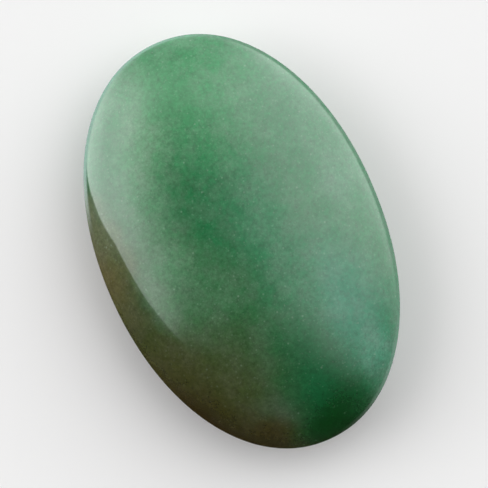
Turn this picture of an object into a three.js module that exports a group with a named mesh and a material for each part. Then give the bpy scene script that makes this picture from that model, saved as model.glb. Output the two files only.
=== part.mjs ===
// A palm stone of green aventurine: one polished pebble, oval from above and lens-shaped from the side.
// Its crown and belly meet in a rounded rim, and a small flat under the belly lets it lie still.
// Millimetres. +Z is up, +X runs along the stone, and the origin is under its middle, on the flat.

import * as THREE from "three";

// The stone's overall size
const LENGTH = 70;
const WIDTH = 46.1;
const THICKNESS = 17;

// The flat that it lies on, measured along the stone
const FLAT_LENGTH = 14;

// How full the oval and the crown are: 2 is a true ellipse, and more pushes the shoulders out
const OVAL_FULLNESS = 2.08;
const CROWN_FULLNESS = 2.02;

// What grinding left uneven
const END_NARROWING = 0.16; // the +X end is narrower than the middle by this on each side, the -X end wider
const SIDE_BOW = 0.09; // the middle leans this far towards -Y

// How finely the surface is faceted
const STEPS_ROUND = 96;
const STEPS_OVER = 36;

// The finish
const STONE_GREEN = 0x4f8f68;
const POLISH_ROUGHNESS = 0.18;

/** The two coordinates of a point on the unit superellipse of this fullness, at this angle in radians. */
function superellipse(angle, fullness) {
  const bend = (value) => Math.sign(value) * Math.abs(value) ** (2 / fullness);
  return [bend(Math.cos(angle)), bend(Math.sin(angle))];
}

/**
 * Half of the section through the stone, from the middle of the flat round the rim to the top of the
 * crown. x is the share of the way out to the rim, and y is the height over the flat.
 */
function halfSection() {
  const flatShare = FLAT_LENGTH / LENGTH;
  const flatAngle = -Math.acos(flatShare ** (CROWN_FULLNESS / 2));
  const [, flatLevel] = superellipse(flatAngle, CROWN_FULLNESS);
  const crownHeight = THICKNESS / (1 - flatLevel);
  const rimHeight = THICKNESS - crownHeight;

  const points = [new THREE.Vector2(0, 0)];
  for (let step = 0; step < STEPS_OVER; step++) {
    const angle = THREE.MathUtils.lerp(flatAngle, Math.PI / 2, step / STEPS_OVER);
    const [share, level] = superellipse(angle, CROWN_FULLNESS);
    points.push(new THREE.Vector2(share, rimHeight + crownHeight * level));
  }
  points.push(new THREE.Vector2(0, THICKNESS));
  return points;
}

/** Moves a point of the round form, one unit in radius, to its place on the oval stone. */
function drawOutToOval(point) {
  const share = Math.hypot(point.x, point.y);
  const [outlineX, outlineY] = superellipse(Math.atan2(point.y, point.x), OVAL_FULLNESS);
  const along = share * outlineX;
  const across = share * outlineY;
  const halfWidth = WIDTH / 2 - END_NARROWING * along;
  const bow = SIDE_BOW * (1 - along ** 2);
  point.x = (LENGTH / 2) * along;
  point.y = halfWidth * across - bow;
}

/** The stone's surface, closed over the flat, the belly, the rim and the crown. */
function stoneGeometry() {
  const geometry = new THREE.LatheGeometry(halfSection(), STEPS_ROUND);
  geometry.rotateX(Math.PI / 2);
  const positions = geometry.getAttribute("position");
  const point = new THREE.Vector3();
  for (let i = 0; i < positions.count; i++) {
    point.fromBufferAttribute(positions, i);
    drawOutToOval(point);
    positions.setXYZ(i, point.x, point.y, point.z);
  }
  geometry.computeBoundingBox();
  const middle = geometry.boundingBox.getCenter(new THREE.Vector3());
  geometry.translate(-middle.x, -middle.y, -geometry.boundingBox.min.z);
  geometry.computeVertexNormals();
  return geometry;
}

/** The whole stone, which formed and was ground as one piece. */
function palmStone() {
  const polish = new THREE.MeshStandardMaterial({
    color: STONE_GREEN,
    roughness: POLISH_ROUGHNESS,
    metalness: 0,
  });
  const stone = new THREE.Mesh(stoneGeometry(), polish);
  stone.name = "palm_stone";
  return stone;
}

const part = new THREE.Group();
part.add(palmStone());

export default part;
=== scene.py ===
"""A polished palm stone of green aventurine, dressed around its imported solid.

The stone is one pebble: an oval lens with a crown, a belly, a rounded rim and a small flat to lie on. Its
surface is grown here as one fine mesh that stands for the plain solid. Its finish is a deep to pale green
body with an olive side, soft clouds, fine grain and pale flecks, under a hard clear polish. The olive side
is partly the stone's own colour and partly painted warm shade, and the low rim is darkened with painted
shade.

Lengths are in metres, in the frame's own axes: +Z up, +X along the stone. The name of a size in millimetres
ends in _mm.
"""

from __future__ import annotations

import logging
import math
from dataclasses import dataclass
from enum import Enum
from typing import Optional, Union

import bpy
import numpy as np
from mathutils import Matrix, Vector

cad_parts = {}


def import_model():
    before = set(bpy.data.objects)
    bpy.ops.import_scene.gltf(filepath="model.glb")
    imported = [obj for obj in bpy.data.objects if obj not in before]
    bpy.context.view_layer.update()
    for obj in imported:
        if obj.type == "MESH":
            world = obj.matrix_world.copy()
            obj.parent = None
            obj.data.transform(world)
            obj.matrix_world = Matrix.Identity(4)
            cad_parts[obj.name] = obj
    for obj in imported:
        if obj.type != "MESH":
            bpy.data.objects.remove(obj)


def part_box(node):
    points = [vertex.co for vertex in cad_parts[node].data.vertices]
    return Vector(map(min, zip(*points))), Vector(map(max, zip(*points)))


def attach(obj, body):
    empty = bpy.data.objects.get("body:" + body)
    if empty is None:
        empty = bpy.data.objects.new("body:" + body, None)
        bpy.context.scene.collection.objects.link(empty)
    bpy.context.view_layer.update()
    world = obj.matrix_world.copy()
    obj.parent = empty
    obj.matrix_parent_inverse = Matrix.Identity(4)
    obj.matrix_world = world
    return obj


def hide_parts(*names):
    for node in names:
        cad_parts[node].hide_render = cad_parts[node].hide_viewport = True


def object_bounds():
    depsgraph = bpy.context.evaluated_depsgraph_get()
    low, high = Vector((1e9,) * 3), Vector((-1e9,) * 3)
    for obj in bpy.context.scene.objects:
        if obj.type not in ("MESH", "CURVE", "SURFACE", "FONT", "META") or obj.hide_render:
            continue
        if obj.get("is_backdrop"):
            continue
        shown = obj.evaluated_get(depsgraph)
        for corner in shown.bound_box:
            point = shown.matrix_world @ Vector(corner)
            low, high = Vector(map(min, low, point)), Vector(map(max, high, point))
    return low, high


LOG = logging.getLogger("palm_stone")
MM = 0.001
TINY = 1e-6

NODE = "palm_stone"
BODY = "root"

Colour = tuple[float, float, float]
Number = Union[float, "Term"]
Sizes = dict[str, list[list[float]]]


class Heading(Enum):
    """The photograph's own directions, as headings in the stone's plane, in degrees from +X towards +Y."""

    RIGHT = 66.51
    UP = 156.51

    @property
    def vector(self) -> Vector:
        """The heading as a flat unit vector."""
        angle = math.radians(self.value)
        return Vector((math.cos(angle), math.sin(angle), 0.0))


class Term:
    """One value or vector in a node tree, which can stand in a sum as a number does."""

    def __init__(self, graph: Graph, socket: bpy.types.NodeSocket) -> None:
        """Wraps a socket.

        Args:
            graph: The tree that the socket belongs to.
            socket: The output socket that carries the value.
        """
        self.graph = graph
        self.socket = socket

    def __add__(self, other: Number) -> Term:
        """This plus the other."""
        return self.graph.maths("ADD", self, other)

    def __sub__(self, other: Number) -> Term:
        """This less the other."""
        return self.graph.maths("SUBTRACT", self, other)

    def __mul__(self, other: Number) -> Term:
        """This times the other."""
        return self.graph.maths("MULTIPLY", self, other)

    def __truediv__(self, other: Number) -> Term:
        """This over the other."""
        return self.graph.maths("DIVIDE", self, other)

    def __pow__(self, other: Number) -> Term:
        """This to the power of the other."""
        return self.graph.maths("POWER", self, other)

    def __radd__(self, other: float) -> Term:
        """A number plus this."""
        return self.graph.maths("ADD", other, self)

    def __rsub__(self, other: float) -> Term:
        """A number less this."""
        return self.graph.maths("SUBTRACT", other, self)

    def __rmul__(self, other: float) -> Term:
        """A number times this."""
        return self.graph.maths("MULTIPLY", other, self)

    def __rtruediv__(self, other: float) -> Term:
        """A number over this."""
        return self.graph.maths("DIVIDE", other, self)

    def size(self) -> Term:
        """This without its sign."""
        return self.graph.maths("ABSOLUTE", self)

    def sign(self) -> Term:
        """One, nought or minus one, by this value's sign."""
        return self.graph.maths("SIGN", self)

    def root(self) -> Term:
        """The square root of this."""
        return self.graph.maths("SQRT", self)

    def bent(self, power: Number) -> Term:
        """The size of this to a power, with this value's own sign."""
        return self.sign() * self.size() ** power

    def most(self, other: Number) -> Term:
        """The larger of the two."""
        return self.graph.maths("MAXIMUM", self, other)


class Graph:
    """A node tree under construction, with short ways to add the nodes that this script needs."""

    def __init__(self, tree: bpy.types.NodeTree) -> None:
        """Starts on an empty tree.

        Args:
            tree: The tree to build in. Nodes that it already has are removed.
        """
        self.tree = tree
        self.tree.nodes.clear()

    def node(self, kind: str, **settings: object) -> bpy.types.Node:
        """Adds a node.

        Args:
            kind: The node's class name.
            **settings: Properties to set on it.

        Returns:
            The new node.
        """
        made = self.tree.nodes.new(kind)
        for name, value in settings.items():
            setattr(made, name, value)
        return made

    def feed(self, socket: bpy.types.NodeSocket, value: object) -> None:
        """Gives an input its value.

        Args:
            socket: The input.
            value: A term or socket to link to it, or a constant to set on it.
        """
        if isinstance(value, Term):
            self.tree.links.new(value.socket, socket)
        elif isinstance(value, bpy.types.NodeSocket):
            self.tree.links.new(value, socket)
        else:
            socket.default_value = value

    def maths(self, operation: str, *values: Number) -> Term:
        """Adds one step of arithmetic.

        Args:
            operation: The Math node's operation.
            *values: One or two numbers or terms.

        Returns:
            The result.
        """
        step = self.node("ShaderNodeMath", operation=operation)
        for socket, value in zip(step.inputs, values):
            self.feed(socket, value)
        return Term(self, step.outputs[0])

    def split(self, vector: Term) -> tuple[Term, Term, Term]:
        """The three parts of a vector."""
        parts = self.node("ShaderNodeSeparateXYZ")
        self.feed(parts.inputs[0], vector)
        return tuple(Term(self, socket) for socket in parts.outputs)

    def join(self, x: Number, y: Number, z: Number) -> Term:
        """A vector of three parts."""
        whole = self.node("ShaderNodeCombineXYZ")
        for socket, value in zip(whole.inputs, (x, y, z)):
            self.feed(socket, value)
        return Term(self, whole.outputs[0])

    def vector(self, operation: str, *values: object, output: str = "Vector") -> Term:
        """Adds one step of vector arithmetic.

        Args:
            operation: The Vector Math node's operation.
            *values: Vectors, as terms or as three numbers.
            output: The output to read.

        Returns:
            The result.
        """
        step = self.node("ShaderNodeVectorMath", operation=operation)
        for socket, value in zip(step.inputs, values):
            self.feed(socket, value)
        return Term(self, step.outputs[output])

    def scaled(self, vector: Term, factor: Number) -> Term:
        """A vector times a number."""
        step = self.node("ShaderNodeVectorMath", operation="SCALE")
        self.feed(step.inputs["Vector"], vector)
        self.feed(step.inputs["Scale"], factor)
        return Term(self, step.outputs["Vector"])

    def ease(self, value: Term, start: float, end: float) -> Term:
        """A smooth rise from nought where the value is at start to one where it is at end.

        Args:
            value: The value to read.
            start: Where the rise begins.
            end: Where it is complete. It may lie below start, and the rise then runs downwards.

        Returns:
            The eased value, held between nought and one.
        """
        flip = end < start
        step = self.node("ShaderNodeMapRange", interpolation_type="SMOOTHSTEP")
        self.feed(step.inputs["Value"], value)
        step.inputs["From Min"].default_value = min(start, end)
        step.inputs["From Max"].default_value = max(start, end)
        step.inputs["To Min"].default_value = float(flip)
        step.inputs["To Max"].default_value = float(not flip)
        return Term(self, step.outputs["Result"])

    def noise(
        self, place: Term, grain: Number, detail: float, seed: float, crispness: float = 0.5
    ) -> bpy.types.Node:
        """Adds smooth noise between about nought and one, with its middle at a half.

        Args:
            place: Where it is read, in metres.
            grain: The size of its patches, in metres.
            detail: How many finer octaves it has.
            seed: Which of its endless patterns it is.
            crispness: How strong each octave is against the one before.

        Returns:
            The noise's node, whose first output is the noise and whose Color is three noises in one.
        """
        step = self.node("ShaderNodeTexNoise", noise_dimensions="4D")
        self.feed(step.inputs["Vector"], place)
        self.feed(step.inputs["Scale"], 1.0 / grain)
        step.inputs["W"].default_value = seed
        step.inputs["Detail"].default_value = detail
        step.inputs["Roughness"].default_value = crispness
        return step

    def mixed(self, share: Number, first: Union[Term, Colour], second: Union[Term, Colour]) -> Term:
        """A blend of two colours.

        Args:
            share: How much of the second shows, from nought to one.
            first: The colour at nought.
            second: The colour at one.

        Returns:
            The blend.
        """
        step = self.node("ShaderNodeMix", data_type="RGBA", clamp_factor=True)
        self.feed(step.inputs[0], share)
        for socket, value in ((step.inputs[6], first), (step.inputs[7], second)):
            self.feed(socket, (*value, 1.0) if isinstance(value, tuple) else value)
        return Term(self, step.outputs[2])

    def changed(
        self, shape: bpy.types.NodeSocket, kind: str, socket: str, value: object
    ) -> bpy.types.NodeSocket:
        """Adds one step that takes a shape and gives it changed.

        Args:
            shape: The shape so far.
            kind: The step's class name.
            socket: The input that the step works by.
            value: What that input gets.

        Returns:
            The changed shape.
        """
        step = self.node(kind)
        self.feed(step.inputs["Geometry"], shape)
        self.feed(step.inputs[socket], value)
        return step.outputs["Geometry"]


def stand(name: str, data: Union[bpy.types.Mesh, bpy.types.Camera]) -> bpy.types.Object:
    """Puts a new object in the scene.

    Args:
        name: Its name.
        data: Its mesh or camera.

    Returns:
        The object, at the origin.
    """
    made = bpy.data.objects.new(name, data)
    bpy.context.scene.collection.objects.link(made)
    return made


def sheet(name: str, reach: float, level: float) -> bpy.types.Mesh:
    """Makes a level square sheet round the origin.

    Args:
        name: Its name.
        reach: How far it runs to each side.
        level: Its height.

    Returns:
        The mesh.
    """
    mesh = bpy.data.meshes.new(name)
    corners = [(reach * x, reach * y, level) for x, y in ((-1, -1), (1, -1), (1, 1), (-1, 1))]
    mesh.from_pydata(corners, [], [(0, 1, 2, 3)])
    return mesh


@dataclass(frozen=True)
class Pattern:
    """A noise that runs through the stone.

    Attributes:
        grain_mm: The size of its patches.
        detail: How many finer octaves it has.
        seed: Which of the endless patterns it is.
        crispness: How strong each octave is against the one before.
    """

    grain_mm: float
    detail: float
    seed: float
    crispness: float = 0.5

    def read(self, graph: Graph, place: Term) -> Term:
        """The noise at a place, between about nought and one."""
        return Term(graph, self._node(graph, place).outputs[0])

    def push(self, graph: Graph, place: Term, reach_mm: float) -> Term:
        """Pushes a place about, so that what is drawn there gets an uneven edge.

        Args:
            graph: The material's tree.
            place: The place to start from, in metres.
            reach_mm: How far it may be pushed.

        Returns:
            The moved place.
        """
        three = Term(graph, self._node(graph, place).outputs["Color"])
        centred = graph.vector("SUBTRACT", three, (0.5, 0.5, 0.5))
        return graph.vector("ADD", place, graph.scaled(centred, 2.0 * reach_mm * MM))

    def _node(self, graph: Graph, place: Term) -> bpy.types.Node:
        """The noise's node."""
        return graph.noise(place, self.grain_mm * MM, self.detail, self.seed, self.crispness)


@dataclass(frozen=True)
class Scatter:
    """Pale flecks scattered through the stone, which show where the surface cuts them.

    Attributes:
        spacing_mm: How far apart they lie.
        radius_mm: The size of the largest.
        strength: How fully the brightest cover the body.
        seed: Which scatter it is.
        core: The share of the radius within which a fleck is full.
        faintest: The faintest fleck's strength, against the brightest.
        least_in_dark: How much of a fleck shows where the body is dark.
        dark_to_pale: The body's green where it counts as dark, and where it counts as pale.
    """

    spacing_mm: float
    radius_mm: float
    strength: float
    seed: float
    core: float = 0.35
    faintest: float = 0.25
    least_in_dark: float = 0.35
    dark_to_pale: tuple[float, float] = (0.03, 0.15)

    def cover(self, graph: Graph, place: Term, green: Term) -> Term:
        """How fully the flecks cover a place.

        Args:
            graph: The material's tree.
            place: The place, in metres.
            green: How green the body is there.

        Returns:
            A share from nought to the scatter's strength.
        """
        cells = graph.node("ShaderNodeTexVoronoi", voronoi_dimensions="3D", feature="F1")
        graph.feed(cells.inputs["Vector"], graph.vector("ADD", place, (self.seed, self.seed, self.seed)))
        cells.inputs["Scale"].default_value = 1.0 / (self.spacing_mm * MM)
        chance, _, _ = graph.split(Term(graph, cells.outputs["Color"]))
        radius = self.radius_mm / self.spacing_mm
        spot = graph.ease(Term(graph, cells.outputs["Distance"]), radius, self.core * radius)
        bright = self.faintest + (1.0 - self.faintest) * chance
        shown = self.least_in_dark + (1.0 - self.least_in_dark) * graph.ease(green, *self.dark_to_pale)
        return spot * bright * shown * self.strength


@dataclass(frozen=True)
class Zone:
    """One patch of the stone's body that differs from its green ground. Some of them are partly or wholly
    painted shade.

    Attributes:
        name: What a lapidary would call it, or, where the patch is painted shade, what it paints.
        middle_mm: Where it lies on the stone, along and across.
        reach_mm: Its half length and half width.
        turn: Its heading, in degrees from +X towards +Y.
        colour: Its colour.
        strength: How fully it covers the ground at its middle.
        fade: Where it has faded out and where it is still full, as shares of its reach.
    """

    name: str
    middle_mm: tuple[float, float]
    reach_mm: tuple[float, float]
    turn: float
    colour: Colour
    strength: float
    fade: tuple[float, float] = (1.35, 0.15)

    def cover(self, graph: Graph, place: Term) -> Term:
        """How fully the zone covers a place.

        Args:
            graph: The material's tree.
            place: The place, in metres.

        Returns:
            A share from nought to the zone's strength.
        """
        turned = graph.node("ShaderNodeMapping", vector_type="TEXTURE")
        graph.feed(turned.inputs["Vector"], place)
        turned.inputs["Location"].default_value = (self.middle_mm[0] * MM, self.middle_mm[1] * MM, 0.0)
        turned.inputs["Rotation"].default_value = (0.0, 0.0, math.radians(self.turn))
        turned.inputs["Scale"].default_value = (self.reach_mm[0] * MM, self.reach_mm[1] * MM, 1.0)
        x, y, _ = graph.split(Term(graph, turned.outputs[0]))
        away = (x * x + y * y).root()
        return graph.ease(away, *self.fade) * self.strength


@dataclass(frozen=True)
class PolishedAventurine:
    """The stone's finish: its body colours, clouds, grain, flecks and polish.

    Attributes:
        ground: The green of most of the body.
        deep: The green of its darker clouds.
        pale: The green of its paler clouds.
        milk: The colour of the quartz that clouds it.
        fleck: The colour of the flecks just under the polish.
        drifts: What makes the edges of the zones uneven, each with how far it pushes them in millimetres.
        clouds: The patches of ground among the deep green.
        cloud_edge: Where in that noise the deep green ends and where the ground is full.
        tufts: The paler clouds.
        tuft_edge: Where in that noise they begin and where they are full.
        tuft_strength: How fully they cover the ground.
        quartz: The clouds of milky quartz.
        quartz_edge: Where in that noise they begin and where they are full.
        quartz_strength: How fully they cover the body, for each unit of its green.
        brightness: The factor by which the grain brightens the body on the whole.
        mottle: The broader unevenness of the body.
        mottle_strength: How much it darkens and lightens the body.
        sugar: The sugary grain.
        sugar_strength: How much it darkens and lightens the body.
        flecks: The scatters of flecks.
        smear: The unevenness of the stone's own gloss.
        roughness: The stone's own roughness at the bottom and at the top of that noise.
        stone_gloss: How strong the stone's own gloss is under the polish.
        coat_roughness: The roughness of the clear polish.
        coat_ior: How strongly the clear polish bends light.
        glance: How edge-on a view is where the gloss begins to be held back, and where it is held back most.
        held_back: The share of the polish's gloss that is held back there, so that its glare stays soft.
        waves: The faint unevenness that polishing leaves in the gloss.
        wave_depth_mm: How deep it is.
        wave_strength: How strongly it shows.
        zones: The patches that differ from the ground, from the lowest to the uppermost. The olive and grey
            low side is partly painted warm shade, and the brown low rims are painted shade.
        clear: The patches that are clear of milky quartz, most of them at the narrower end.
    """

    ground: Colour = (0.012, 0.135, 0.048)
    deep: Colour = (0.008, 0.118, 0.040)
    pale: Colour = (0.028, 0.155, 0.066)
    milk: Colour = (0.40, 0.27, 0.34)
    fleck: Colour = (0.37, 0.46, 0.38)
    drifts: tuple[tuple[Pattern, float], ...] = (
        (Pattern(7.0, 1.5, 11.0), 2.2),
        (Pattern(1.8, 1.5, 12.0), 0.7),
    )
    clouds: Pattern = Pattern(11.0, 3.0, 2.0)
    cloud_edge: tuple[float, float] = (0.36, 0.66)
    tufts: Pattern = Pattern(5.0, 3.0, 5.0)
    tuft_edge: tuple[float, float] = (0.50, 0.76)
    tuft_strength: float = 0.5
    quartz: Pattern = Pattern(3.6, 4.5, 22.0, crispness=0.76)
    quartz_edge: tuple[float, float] = (0.32, 0.68)
    quartz_strength: float = 0.68
    brightness: float = 1.08
    mottle: Pattern = Pattern(2.8, 2.0, 21.0, crispness=0.75)
    mottle_strength: float = 0.30
    sugar: Pattern = Pattern(0.7, 2.0, 23.0, crispness=0.9)
    sugar_strength: float = 1.34
    flecks: tuple[Scatter, ...] = (
        Scatter(spacing_mm=0.60, radius_mm=0.16, strength=0.11, seed=3.0),
        Scatter(spacing_mm=0.95, radius_mm=0.20, strength=0.15, seed=5.0),
        Scatter(spacing_mm=1.75, radius_mm=0.23, strength=0.24, seed=8.0),
    )
    smear: Pattern = Pattern(6.0, 3.0, 31.0)
    roughness: tuple[float, float] = (0.12, 0.28)
    stone_gloss: float = 0.2
    coat_roughness: float = 0.045
    coat_ior: float = 1.68
    glance: tuple[float, float] = (0.30, 0.80)
    held_back: float = 0.6
    waves: Pattern = Pattern(1.1, 2.0, 41.0)
    wave_depth_mm: float = 0.010
    wave_strength: float = 0.25
    zones: tuple[Zone, ...] = (
        Zone("bright head", (-25.0, 2.0), (15.0, 12.0), 0.0, (0.015, 0.182, 0.059), 0.90),
        Zone("cool flank", (2.0, 17.0), (30.0, 7.0), 0.0, (0.000, 0.133, 0.041), 0.85),
        Zone("teal shoulder", (17.0, 11.5), (13.5, 7.5), 0.0, (0.008, 0.168, 0.092), 0.90),
        Zone("pale heart", (3.0, 4.5), (15.0, 5.5), 0.0, (0.020, 0.160, 0.070), 0.75),
        # Partly painted warm shade: the grey drift and the olive side darken the low side towards olive,
        # partly as the stone's own colour and partly as painted warm shade.
        Zone("grey drift", (25.0, -24.0), (46.0, 28.0), 23.0, (0.043, 0.078, 0.031), 1.0),
        Zone("olive side", (25.0, -25.0), (46.0, 23.5), 23.0, (0.049, 0.044, 0.009), 1.0),
        Zone("green throat", (18.2, 4.2), (5.2, 3.5), 0.0, (0.000, 0.112, 0.032), 0.60),
        Zone("milky spot", (5.0, -5.0), (6.0, 4.0), 0.0, (0.034, 0.128, 0.052), 0.85),
        Zone("milky edge", (-2.5, 17.6), (5.5, 3.0), 0.0, (0.055, 0.162, 0.092), 0.58),
        Zone("pale belt", (-0.5, -11.8), (13.0, 6.2), 8.0, (0.049, 0.161, 0.072), 0.90),
        Zone("pale knot", (-1.8, -11.7), (4.6, 3.4), 0.0, (0.078, 0.200, 0.102), 0.70),
        Zone("pale shoulder", (-19.6, -7.9), (13.0, 6.0), -18.0, (0.058, 0.202, 0.090), 0.95),
        Zone("dark core", (-10.6, -5.8), (6.2, 3.4), 0.0, (0.012, 0.125, 0.041), 0.70),
        Zone("pale toe", (2.8, -16.2), (6.0, 2.6), 16.0, (0.062, 0.166, 0.078), 0.58),
        # Partly the stone's own olive and partly painted warm shade.
        Zone("olive flank", (-6.0, -22.4), (11.5, 4.0), 0.0, (0.100, 0.083, 0.029), 0.95),
        Zone("grey flank", (-12.5, -20.8), (9.5, 3.2), 8.0, (0.108, 0.120, 0.060), 0.80),
        # Painted shade: the low rim darkened to brown as if in shade.
        Zone("painted shade rim", (27.0, -19.0), (21.0, 7.5), 36.0, (0.026, 0.012, 0.000), 0.90),
        Zone("milky drift", (28.0, -3.4), (3.4, 6.0), -13.0, (0.046, 0.076, 0.038), 0.80),
        # Painted shade: the low end of the rim darkened to brown as if in shade.
        Zone("painted shade foot rim", (31.2, -8.8), (3.8, 6.6), -13.0, (0.040, 0.031, 0.006), 0.90),
        Zone("teal rim", (24.6, 12.6), (4.2, 3.2), -31.6, (0.045, 0.215, 0.130), 0.78),
    )
    clear: tuple[Zone, ...] = (
        Zone("clear brow", (-26.6, -2.0), (6.2, 5.4), 0.0, (0.018, 0.170, 0.056), 0.80),
        Zone("clear throat", (26.5, 2.6), (12.0, 6.9), 8.0, (0.004, 0.088, 0.029), 0.95),
        Zone("dark foot", (32.8, 2.7), (6.2, 7.0), 10.0, (0.002, 0.040, 0.006), 0.95),
    )

    def material(self) -> bpy.types.Material:
        """Builds the finish.

        Returns:
            The material, which reads only its own object's coordinates.
        """
        made = bpy.data.materials.new("polished green aventurine")
        made.use_nodes = True
        graph = Graph(made.node_tree)
        place = Term(graph, graph.node("ShaderNodeTexCoord").outputs["Object"])

        drifted = place
        for pattern, reach_mm in self.drifts:
            drifted = pattern.push(graph, drifted, reach_mm)
        colour = self._body(graph, place, drifted)
        colour = self._milk(graph, place, colour)
        for zone in self.clear:
            colour = graph.mixed(zone.cover(graph, drifted), colour, zone.colour)
        colour = self._grain(graph, place, colour)
        for scatter in self.flecks:
            _, green, _ = graph.split(colour)
            colour = graph.mixed(scatter.cover(graph, place, green), colour, self.fleck)

        shader = graph.node("ShaderNodeBsdfPrincipled")
        graph.feed(shader.inputs["Base Color"], colour)
        smoothest, roughest = self.roughness
        smear = self.smear.read(graph, place)
        graph.feed(shader.inputs["Roughness"], smoothest + (roughest - smoothest) * smear)
        glancing = self._glancing(graph)
        graph.feed(shader.inputs["Specular IOR Level"], self.stone_gloss * (1.0 - glancing))
        graph.feed(shader.inputs["Coat Weight"], 1.0 - self.held_back * glancing)
        shader.inputs["Coat Roughness"].default_value = self.coat_roughness
        shader.inputs["Coat IOR"].default_value = self.coat_ior
        bumped = self._undulation(graph, place)
        graph.feed(shader.inputs["Normal"], bumped)
        graph.feed(shader.inputs["Coat Normal"], bumped)

        output = graph.node("ShaderNodeOutputMaterial")
        graph.feed(output.inputs["Surface"], shader.outputs[0])
        return made

    def _body(self, graph: Graph, place: Term, drifted: Term) -> Term:
        """The ground with its clouds and zones.

        Args:
            graph: The material's tree.
            place: The place, in metres.
            drifted: The place as the zones read it, which makes their edges uneven.

        Returns:
            The body colour.
        """
        clouds = graph.ease(self.clouds.read(graph, place), *self.cloud_edge)
        colour = graph.mixed(clouds, self.deep, self.ground)
        tufts = graph.ease(self.tufts.read(graph, place), *self.tuft_edge)
        colour = graph.mixed(tufts * self.tuft_strength, colour, self.pale)
        for zone in self.zones:
            colour = graph.mixed(zone.cover(graph, drifted), colour, zone.colour)
        return colour

    def _milk(self, graph: Graph, place: Term, colour: Term) -> Term:
        """Clouds the body with milky quartz, more where the body is pale.

        Args:
            graph: The material's tree.
            place: The place, in metres.
            colour: The colour so far.

        Returns:
            The clouded colour.
        """
        quartz = graph.ease(self.quartz.read(graph, place), *self.quartz_edge)
        _, green, _ = graph.split(colour)
        return graph.mixed(quartz * green * self.quartz_strength, colour, self.milk)

    def _grain(self, graph: Graph, place: Term, colour: Term) -> Term:
        """Darkens and lightens the body by its mottles and its sugary grain.

        Args:
            graph: The material's tree.
            place: The place, in metres.
            colour: The colour so far.

        Returns:
            The colour with its grain.
        """
        mottle = (self.mottle.read(graph, place) - 0.5) * self.mottle_strength
        sugar = (self.sugar.read(graph, place) - 0.5) * self.sugar_strength
        return graph.scaled(colour, self.brightness + mottle + sugar)

    def _glancing(self, graph: Graph) -> Term:
        """How edge-on the view of a spot is, from nought to one."""
        slant = graph.node("ShaderNodeLayerWeight")
        slant.inputs["Blend"].default_value = 0.5
        return graph.ease(Term(graph, slant.outputs["Facing"]), *self.glance)

    def _undulation(self, graph: Graph, place: Term) -> Term:
        """The faint unevenness that polishing leaves in the gloss.

        Args:
            graph: The material's tree.
            place: The place, in metres.

        Returns:
            The bumped normal.
        """
        bump = graph.node("ShaderNodeBump")
        bump.inputs["Strength"].default_value = self.wave_strength
        bump.inputs["Distance"].default_value = self.wave_depth_mm * MM
        graph.feed(bump.inputs["Height"], self.waves.read(graph, place))
        return Term(graph, bump.outputs[0])


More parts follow.
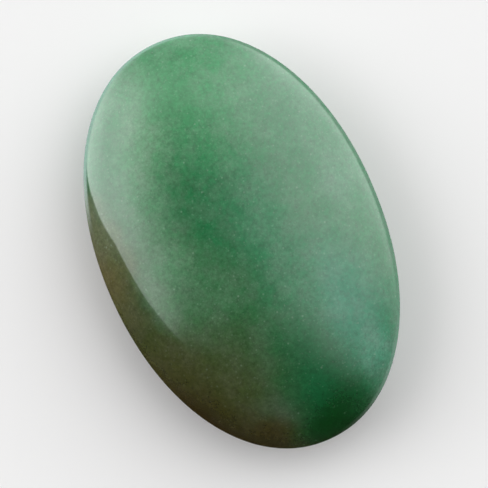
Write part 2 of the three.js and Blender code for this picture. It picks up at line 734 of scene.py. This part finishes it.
@dataclass
class Pebble:
    """The stone's form: an oval lens whose crown and belly meet in a rounded rim, with a small flat below.

    Attributes:
        length: Its length, from the frame.
        width: Its width, from the frame.
        thickness: Its thickness, from the frame.
        oval_fullness: The fullness of its outline, where 2 is an ellipse.
        crown_fullness: The fullness of its section, where 2 is an ellipse.
        flat_length: The length of the flat that it lies on.
        flat_edge: How softly the flat meets the belly.
        end_narrowing: How much narrower each side is at the +X end than in the middle.
        side_bow: How far the middle leans towards -Y.
        ripple_height: How deep the waves are that grinding left.
        ripple_length: How long those waves are.
        ripple_middle: The noise level that leaves the surface where it is. It lies above the usual half, so
            that the waves cut in more than they stand out, and the stone stays inside its solid's box.
        rows: Points along each edge of the cube that the surface is grown from.
        map_middle: How far the middle of each half lies from the map's upper or lower border.
        map_reach: The half width and half height of each half of the map.
    """

    length: float
    width: float
    thickness: float
    oval_fullness: float = 2.08
    crown_fullness: float = 2.02
    flat_length: float = 14.0 * MM
    flat_edge: float = 0.02 * MM
    end_narrowing: float = 0.16 * MM
    side_bow: float = 0.09 * MM
    ripple_height: float = 0.05 * MM
    ripple_length: float = 13.0 * MM
    ripple_middle: float = 0.62
    rows: int = 118
    map_middle: float = 0.255
    map_reach: tuple[float, float] = (0.49, 0.24)

    @classmethod
    def from_frame(cls) -> Pebble:
        """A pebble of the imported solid's size."""
        low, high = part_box(NODE)
        return cls(*(high - low))

    @property
    def flat_level(self) -> float:
        """The level of the flat in the section, where the rim is nought and the lowest point would be -1."""
        share = self.flat_length / self.length
        return -((1.0 - share**self.crown_fullness) ** (1.0 / self.crown_fullness))

    @property
    def crown_height(self) -> float:
        """The height of the crown over the rim."""
        return self.thickness / (1.0 - self.flat_level)

    @property
    def rim_height(self) -> float:
        """The height of the rim over the flat."""
        return self.thickness - self.crown_height

    def build(self, finish: bpy.types.Material) -> bpy.types.Object:
        """Grows the stone and gives it its finish.

        Args:
            finish: The material that it wears.

        Returns:
            The stone as one plain, closed mesh at the origin.
        """
        seed = stand("pebble_seed", bpy.data.meshes.new("pebble_seed"))
        grown = seed.modifiers.new("grown pebble", "NODES")
        tree, identifiers = self._tree()
        grown.node_group = tree
        for name, value in self._inputs(finish).items():
            grown[identifiers[name]] = value
        depsgraph = bpy.context.evaluated_depsgraph_get()
        mesh = bpy.data.meshes.new_from_object(seed.evaluated_get(depsgraph), depsgraph=depsgraph)
        mesh.name = "polished_pebble"
        bpy.data.objects.remove(seed)
        stone = stand("polished_pebble", mesh)
        self._lay_out(mesh)
        return stone

    def _inputs(self, finish: Optional[bpy.types.Material]) -> dict[str, object]:
        """The values of the tree's named inputs."""
        return {
            "Length": self.length,
            "Width": self.width,
            "Crown Height": self.crown_height,
            "Rim Height": self.rim_height,
            "Oval Fullness": self.oval_fullness,
            "Crown Fullness": self.crown_fullness,
            "Flat Edge": self.flat_edge,
            "End Narrowing": self.end_narrowing,
            "Side Bow": self.side_bow,
            "Ripple Height": self.ripple_height,
            "Ripple Length": self.ripple_length,
            "Rows": self.rows,
            "Finish": finish,
        }

    def _tree(self) -> tuple[bpy.types.NodeTree, dict[str, str]]:
        """Builds the tree that grows the pebble from a cube.

        Returns:
            The tree, and the identifier of each named input.
        """
        tree = bpy.data.node_groups.new("Grown Pebble", "GeometryNodeTree")
        tree.is_modifier = True
        graph = Graph(tree)
        kinds = {"Rows": "NodeSocketInt", "Finish": "NodeSocketMaterial"}
        names = list(self._inputs(None))
        tree.interface.new_socket("Geometry", in_out="INPUT", socket_type="NodeSocketGeometry")
        identifiers = {}
        for name in names:
            kind = kinds.get(name, "NodeSocketFloat")
            identifiers[name] = tree.interface.new_socket(name, in_out="INPUT", socket_type=kind).identifier
        tree.interface.new_socket("Geometry", in_out="OUTPUT", socket_type="NodeSocketGeometry")
        start = graph.node("NodeGroupInput")
        given = {name: Term(graph, start.outputs[name]) for name in names}

        cube = graph.node("GeometryNodeMeshCube")
        cube.inputs["Size"].default_value = (2.0, 2.0, 2.0)
        for name in ("Vertices X", "Vertices Y", "Vertices Z"):
            graph.feed(cube.inputs[name], given["Rows"])

        grown = cube.outputs["Mesh"]
        for socket, moves in (("Position", self._lens), ("Offset", self._ripples), ("Position", self._rest)):
            grown = graph.changed(grown, "GeometryNodeSetPosition", socket, moves(graph, given))
        grown = graph.changed(grown, "GeometryNodeSetShadeSmooth", "Shade Smooth", True)
        grown = graph.changed(grown, "GeometryNodeRealizeInstances", "Realize All", True)
        grown = graph.changed(grown, "GeometryNodeSetMaterial", "Material", given["Finish"])
        end = graph.node("NodeGroupOutput")
        graph.feed(end.inputs["Geometry"], grown)
        return tree, identifiers

    def _lens(self, graph: Graph, given: dict[str, Term]) -> Term:
        """Where each point of the cube goes on the full lens, before the flat is cut.

        Args:
            graph: The tree being built.
            given: The tree's named inputs.

        Returns:
            The point's place, in metres.
        """
        place = Term(graph, graph.node("GeometryNodeInputPosition").outputs[0])
        even = graph.vector("TANGENT", graph.scaled(place, math.pi / 4.0))
        x, y, z = graph.split(graph.vector("NORMALIZE", even))
        round_share = (x * x + y * y).root().most(TINY)
        oval = 2.0 / given["Oval Fullness"]
        crown = 2.0 / given["Crown Fullness"]
        share = round_share**crown
        along = share * (x / round_share).bent(oval)
        across = share * (y / round_share).bent(oval)
        level = z.bent(crown)
        half_width = 0.5 * given["Width"] - given["End Narrowing"] * along
        return graph.join(
            0.5 * given["Length"] * along,
            half_width * across + given["Side Bow"] * along * along,
            given["Rim Height"] + given["Crown Height"] * level,
        )

    def _ripples(self, graph: Graph, given: dict[str, Term]) -> Term:
        """How far grinding left each point in or out.

        Args:
            graph: The tree being built.
            given: The tree's named inputs.

        Returns:
            The offset along the surface's normal, in metres.
        """
        place = Term(graph, graph.node("GeometryNodeInputPosition").outputs[0])
        normal = Term(graph, graph.node("GeometryNodeInputNormal").outputs[0])
        wave = graph.noise(place, given["Ripple Length"], detail=1.0, seed=4.0)
        height = (Term(graph, wave.outputs[0]) - self.ripple_middle) * given["Ripple Height"]
        return graph.scaled(normal, height)

    def _rest(self, graph: Graph, given: dict[str, Term]) -> Term:
        """Cuts the flat: no point lies below it, and its edge is softly worn.

        Args:
            graph: The tree being built.
            given: The tree's named inputs.

        Returns:
            The point's place, in metres.
        """
        place = Term(graph, graph.node("GeometryNodeInputPosition").outputs[0])
        x, y, z = graph.split(place)
        edge = given["Flat Edge"]
        return graph.join(x, y, 0.5 * (z + (z * z + edge * edge).root()))

    def _lay_out(self, mesh: bpy.types.Mesh) -> None:
        """Lays the surface out flat in two halves, crown above belly, with even room from the rim inwards.

        Args:
            mesh: The stone's mesh, which gets the map.
        """
        points = np.empty(len(mesh.vertices) * 3, np.float32)
        mesh.vertices.foreach_get("co", points)
        points = points.reshape(-1, 3)
        corner_point = np.empty(len(mesh.loops), np.int32)
        mesh.loops.foreach_get("vertex_index", corner_point)
        starts = np.empty(len(mesh.polygons), np.int32)
        mesh.polygons.foreach_get("loop_start", starts)
        counts = np.empty(len(mesh.polygons), np.int32)
        mesh.polygons.foreach_get("loop_total", counts)
        middles = np.add.reduceat(points[corner_point, 2], starts) / counts
        is_crown = np.repeat(middles > self.rim_height, counts)

        x = points[:, 0] / (0.5 * self.length)
        y = points[:, 1] / (0.5 * self.width)
        share = np.hypot(x, y)
        level = np.abs(points[:, 2] - self.rim_height) / self.crown_height
        turn = np.arctan2(level, share)
        mean_radius = 0.25 * (self.length + self.width)
        turns = np.linspace(0.0, 0.5 * np.pi, num=200)
        speed = np.hypot(mean_radius * np.sin(turns), self.crown_height * np.cos(turns))
        travelled = np.concatenate(([0.0], np.cumsum(0.5 * (speed[1:] + speed[:-1]))))
        out = 1.0 - np.interp(turn, turns, travelled / travelled[-1])
        flat = np.stack([x, y], 1) / np.maximum(share, TINY)[:, None] * out[:, None]

        half_across, half_up = self.map_reach
        middle_up = np.where(is_crown, 1.0 - self.map_middle, self.map_middle)
        where = np.empty((len(corner_point), 2), np.float32)
        where[:, 0] = 0.5 + half_across * flat[corner_point, 0]
        where[:, 1] = middle_up + half_up * flat[corner_point, 1]
        layer = mesh.uv_layers.new(name="OFBake")
        layer.uv.foreach_set("vector", where.ravel())


@dataclass(frozen=True)
class Edge:
    """A soft straight edge of a light, as half of the sky on one side of it.

    Attributes:
        facing: The direction that the lit side faces, as parts towards the photograph's right, its top and
            straight up.
        start: Where the light begins, as the cosine of the angle from facing.
        full: Where it is full.
    """

    facing: tuple[float, float, float]
    start: float
    full: float

    def open(self, graph: Graph, towards: Term) -> Term:
        """How far a direction is inside the edge, from nought to one."""
        right, top, up = self.facing
        flat = Heading.RIGHT.vector * right + Heading.UP.vector * top
        facing = Vector((flat.x, flat.y, up)).normalized()
        cosine = graph.vector("DOT_PRODUCT", towards, tuple(facing), output="Value")
        return graph.ease(cosine, self.start, self.full)


@dataclass(frozen=True)
class Corner:
    """Two edges that meet in a corner which points into the light. A direction inside either is lit.

    Attributes:
        first: One edge.
        second: The other.
    """

    first: Edge
    second: Edge

    def open(self, graph: Graph, towards: Term) -> Term:
        """How far a direction is inside either edge, from nought to one."""
        return self.first.open(graph, towards).most(self.second.open(graph, towards))


@dataclass(frozen=True)
class Softbox:
    """A soft light, bounded by edges.

    Attributes:
        name: What it is.
        strength: How bright it is, where 1 is a white sheet in even light.
        edges: The edges that bound it.
    """

    name: str
    strength: float
    edges: tuple[Union[Edge, Corner], ...]

    def glow(self, graph: Graph, towards: Term) -> Term:
        """How bright the light is in a direction."""
        level = self.edges[0].open(graph, towards)
        for edge in self.edges[1:]:
            level = level * edge.open(graph, towards)
        return level * self.strength


@dataclass(frozen=True)
class Shade:
    """A side of what lies below the horizon, close by the stone, painted in a colour of its own: a brighter
    light, or a warm painted shade.

    Attributes:
        name: What it is.
        heading: The middle of the side, in degrees from the photograph's right towards its top.
        spread: How far to each side it begins and is full, in degrees.
        colour: Its colour.
    """

    name: str
    heading: float
    spread: tuple[float, float]
    colour: Colour

    def cover(self, graph: Graph, out: Term) -> Term:
        """How fully the shade covers a flat direction, from nought to one."""
        angle = math.radians(self.heading + Heading.RIGHT.value)
        middle = (math.cos(angle), math.sin(angle), 0.0)
        start, full = (math.cos(math.radians(side)) for side in self.spread)
        return graph.ease(graph.vector("DOT_PRODUCT", out, middle, output="Value"), start, full)


CEILING_GAP = Edge((0.17, 0.0, -0.985), -0.99, -0.83)
RIGHT_BANK_AWAY = Edge((0.85, 0.53, 0.0), 0.92, -0.22)
LOW_LEFT_EDGE = Edge((-0.8, 0.6, 0.0), 0.08, 0.22)
CRISP_EDGE = Corner(
    Edge((-0.096, 0.944, 0.3145), 0.030, 0.050),
    Edge((0.1145, 0.7966, 0.5932), 0.012, 0.032),
)
# The warm brown of the painted shade on the gloss card's low side.
SHADE_BROWN: Colour = (0.035, 0.018, 0.008)


@dataclass
class Studio:
    """A plain pale floor, soft lights round the upper half of the view, and the camera overhead.

    Attributes:
        floor_reach: How far the floor runs.
        floor_colour: The floor's pale colour.
        floor_roughness: How matt its paper is.
        floor_gloss: How strong its gloss is.
        background: What the camera sees past the floor.
        light_tint: The colour of the soft lights.
        fill: The faint warm light from everywhere else.
        softboxes: The soft lights.
        card_reach: How far the card that only the gloss shows runs.
        card_level: Its height, just under the floor.
        dip: How steeply down from the rim the card turns from the lights to its near colours, as the upward
            part of the direction where it begins to and where it has.
        painted_shadow_edge: Where the card's painted shadow under the stone begins and where it is full, as
            shares of the way out to the rim.
        ground_pale: The card's colour beside the stone.
        ground_painted_shadow: Its colour under the stone, a painted shadow.
        ground_shades: The sides of the card, close by the stone, painted in colours of their own: a brighter
            light on the left and painted warm shade along the low side.
        distance: How far the camera is above the stone's rim.
        frame_width: How much of the rim's plane the picture shows.
        aim: The point of the stone's plane under the middle of the picture.
        film_width_mm: The width of the camera's film.
        clip: How near and how far the camera sees.
    """

    floor_reach: float = 3.0
    floor_colour: Colour = (0.92, 0.835, 0.88)
    floor_roughness: float = 0.9
    floor_gloss: float = 0.1
    background: Colour = (0.94, 0.94, 0.94)
    light_tint: Colour = (0.905, 1.0, 0.95)
    fill: Colour = (0.032, 0.028, 0.024)
    softboxes: tuple[Softbox, ...] = (
        Softbox(
            "left bank",
            1.98,
            (
                Edge((-0.99, 0.14, 0.0), 0.22, 0.84),
                Edge((0.0, 1.0, 0.0), 0.85, 0.40),
                LOW_LEFT_EDGE,
                CRISP_EDGE,
            ),
        ),
        Softbox(
            "left of the tent",
            1.05,
            (
                Edge((-1.0, 0.0, 0.0), 0.34, 0.56),
                Edge((0.0, 1.0, 0.0), -0.45, -0.05),
                RIGHT_BANK_AWAY,
                CEILING_GAP,
                CRISP_EDGE,
            ),
        ),
        Softbox(
            "rest of the tent",
            1.05,
            (
                Edge((-1.0, 0.0, 0.0), 0.56, 0.34),
                Edge((0.355, 0.935, 0.0), -0.30, 0.03),
                RIGHT_BANK_AWAY,
                CEILING_GAP,
            ),
        ),
        Softbox(
            "right bank",
            2.75,
            (
                Edge((0.85, 0.53, 0.0), -0.22, 1.02),
                Edge((-0.35, 0.93, 0.0), -0.80, 0.20),
                Edge((-0.45, 0.89, 0.0), 0.95, 0.40),
            ),
        ),
        Softbox("top bank", 0.70, (Edge((0.15, 0.989, 0.0), 0.76, 0.97),)),
        Softbox("left rim light", 0.45, (Edge((-1.0, 0.0, 0.0), 0.82, 0.97), LOW_LEFT_EDGE, CRISP_EDGE)),
        Softbox("upper left rim light", 0.20, (Edge((-0.93, 0.36, 0.0), 0.86, 0.98),)),
    )
    card_reach: float = 0.6
    card_level: float = -0.1 * MM
    dip: tuple[float, float] = (-0.24, -0.48)
    painted_shadow_edge: tuple[float, float] = (1.25, 0.75)
    ground_pale: Colour = (0.85, 0.90, 0.90)
    ground_painted_shadow: Colour = (0.05, 0.05, 0.05)
    ground_shades: tuple[Shade, ...] = (
        Shade("bright left", 160.0, (97.0, 18.0), (1.85, 2.15, 2.25)),
        # Painted warm shade on the card's low side; the bright left is a brighter light.
        Shade("painted shade low left", 238.0, (57.0, 45.0), SHADE_BROWN),
        Shade("painted shade low side", 270.0, (80.0, 15.0), SHADE_BROWN),
    )
    distance: float = 450.0 * MM
    frame_width: float = 79.0 * MM
    aim: tuple[float, float] = (0.50 * MM, 0.14 * MM)
    film_width_mm: float = 36.0
    clip: tuple[float, float] = (0.01, 20.0)

    def build(self, pebble: Pebble) -> None:
        """Sets up the floor, the lights and the camera.

        Args:
            pebble: The stone that they are set up for. The picture's scale is true at its rim's height.
        """
        self._floor()
        self._card(pebble)
        self._lights()
        self._camera(pebble.rim_height)
        settings = bpy.context.scene.view_settings
        settings.view_transform = "Standard"
        settings.look = "None"

    def _floor(self) -> None:
        """Lays the floor, which the stone's gloss looks through to the card under it."""
        floor = stand("studio_floor", sheet("studio_floor", self.floor_reach, level=0.0))
        floor.visible_glossy = False
        paper = bpy.data.materials.new("pale paper")
        paper.use_nodes = True
        graph = Graph(paper.node_tree)
        shader = graph.node("ShaderNodeBsdfPrincipled")
        shader.inputs["Base Color"].default_value = (*self.floor_colour, 1.0)
        shader.inputs["Roughness"].default_value = self.floor_roughness
        shader.inputs["Specular IOR Level"].default_value = self.floor_gloss
        output = graph.node("ShaderNodeOutputMaterial")
        graph.feed(output.inputs["Surface"], shader.outputs[0])
        floor.data.materials.append(paper)
        floor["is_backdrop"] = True

    def _card(self, pebble: Pebble) -> None:
        """Lays a card under the floor that only the stone's gloss shows.

        Far out it carries the soft lights on below the horizon. Beside the stone it is pale, bright on the
        left, with painted warm shade along the low side and a painted shadow underneath.

        Args:
            pebble: The stone that stands on it.
        """
        card = stand("gloss_card", sheet("gloss_card", self.card_reach, self.card_level))
        card.visible_camera = False
        card.visible_diffuse = False
        card.visible_shadow = False
        card.visible_transmission = False

        paint = bpy.data.materials.new("gloss card")
        paint.use_nodes = True
        graph = Graph(paint.node_tree)
        share, out, towards = self._past_rim(graph, pebble)
        _, _, dip = graph.split(towards)
        near = self.ground_pale
        for shade in self.ground_shades:
            near = graph.mixed(shade.cover(graph, out), near, shade.colour)
        # Painted shadow: the card goes dark under the stone, as a floor in the stone's shade would look in
        # its gloss.
        near = graph.mixed(graph.ease(share, *self.painted_shadow_edge), near, self.ground_painted_shadow)
        colour = graph.mixed(graph.ease(dip, *self.dip), self._glow(graph, towards), near)
        light = graph.node("ShaderNodeEmission")
        graph.feed(light.inputs["Color"], colour)
        output = graph.node("ShaderNodeOutputMaterial")
        graph.feed(output.inputs["Surface"], light.outputs[0])
        card.data.materials.append(paint)
        card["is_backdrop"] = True

    def _past_rim(self, graph: Graph, pebble: Pebble) -> tuple[Term, Term, Term]:
        """Where a spot of the card lies, as seen from the stone's rim.

        Args:
            graph: The card's tree.
            pebble: The stone that stands on it.

        Returns:
            The share of the way out from the middle to the rim, the flat heading away from the rim, and the
            direction from the nearest point of the rim.
        """
        x, y, _ = graph.split(Term(graph, graph.node("ShaderNodeTexCoord").outputs["Object"]))
        half_length = 0.5 * pebble.length
        half_width = 0.5 * pebble.width
        share = graph.vector("LENGTH", graph.join(x / half_length, y / half_width, 0.0), output="Value")
        from_middle = graph.vector("LENGTH", graph.join(x, y, 0.0), output="Value")
        past_rim = from_middle * (1.0 - 1.0 / share).most(0.0)
        # Ovals that are wider than the stone by the same gap all round have nearly the rim's own headings
        along = x / (past_rim + half_length) ** 2.0
        across = y / (past_rim + half_width) ** 2.0
        out = graph.vector("NORMALIZE", graph.join(along, across, 0.0))
        from_rim = graph.vector("SUBTRACT", graph.scaled(out, past_rim), (0.0, 0.0, pebble.rim_height))
        return share, out, graph.vector("NORMALIZE", from_rim)

    def _glow(self, graph: Graph, towards: Term) -> Term:
        """The light that comes from a direction: every soft light's, and the fill."""
        level = self.softboxes[0].glow(graph, towards)
        for softbox in self.softboxes[1:]:
            level = level + softbox.glow(graph, towards)
        return graph.vector("ADD", graph.scaled(graph.join(*self.light_tint), level), self.fill)

    def _lights(self) -> None:
        """Paints the soft lights on the dark room round the stone."""
        world = bpy.data.worlds.new("soft studio")
        bpy.context.scene.world = world
        world.use_nodes = True
        graph = Graph(world.node_tree)
        towards = Term(graph, graph.node("ShaderNodeTexCoord").outputs["Generated"])
        seen = Term(graph, graph.node("ShaderNodeLightPath").outputs["Is Camera Ray"])
        background = graph.node("ShaderNodeBackground")
        room = graph.mixed(seen, self._glow(graph, towards), self.background)
        graph.feed(background.inputs["Color"], room)
        output = graph.node("ShaderNodeOutputWorld")
        graph.feed(output.inputs["Surface"], background.outputs[0])

    def _camera(self, rim_height: float) -> None:
        """Hangs the camera straight above the stone.

        Args:
            rim_height: The height of the stone's rim.
        """
        data = bpy.data.cameras.new("overhead camera")
        data.sensor_width = self.film_width_mm
        data.lens = self.film_width_mm * self.distance / self.frame_width
        data.clip_start, data.clip_end = self.clip
        camera = stand("overhead camera", data)
        right = Heading.RIGHT.vector
        top = Heading.UP.vector
        turned = Matrix((right, top, Vector((0.0, 0.0, 1.0)))).transposed()
        camera.matrix_world = Matrix.Translation((*self.aim, rim_height + self.distance)) @ turned.to_4x4()
        bpy.context.scene.camera = camera


def note_sizes(name: str, bounds: tuple[Vector, Vector], sizes: Sizes) -> None:
    """Keeps a box as plain numbers.

    Args:
        name: What the box is of.
        bounds: Its lowest and highest corner.
        sizes: Where it is kept.
    """
    sizes[name] = [list(corner) for corner in bounds]


def main() -> None:
    """Builds the stone and its studio, and reports each piece."""
    logging.basicConfig(level=logging.INFO, format="%(name)s: %(message)s")
    sizes: Sizes = {}
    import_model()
    note_sizes("cad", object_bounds(), sizes)

    pebble = Pebble.from_frame()
    studio = Studio()
    studio.build(pebble)
    LOG.info("studio: floor, %d soft lights and the overhead camera", len(studio.softboxes))

    stone = pebble.build(PolishedAventurine().material())
    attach(stone, BODY)
    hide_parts(NODE)
    faces = len(stone.data.polygons)
    LOG.info("%s: %d faces, rim %.2f mm over the flat", stone.name, faces, pebble.rim_height / MM)

    note_sizes("visual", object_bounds(), sizes)


if __name__ == "__main__":
    main()
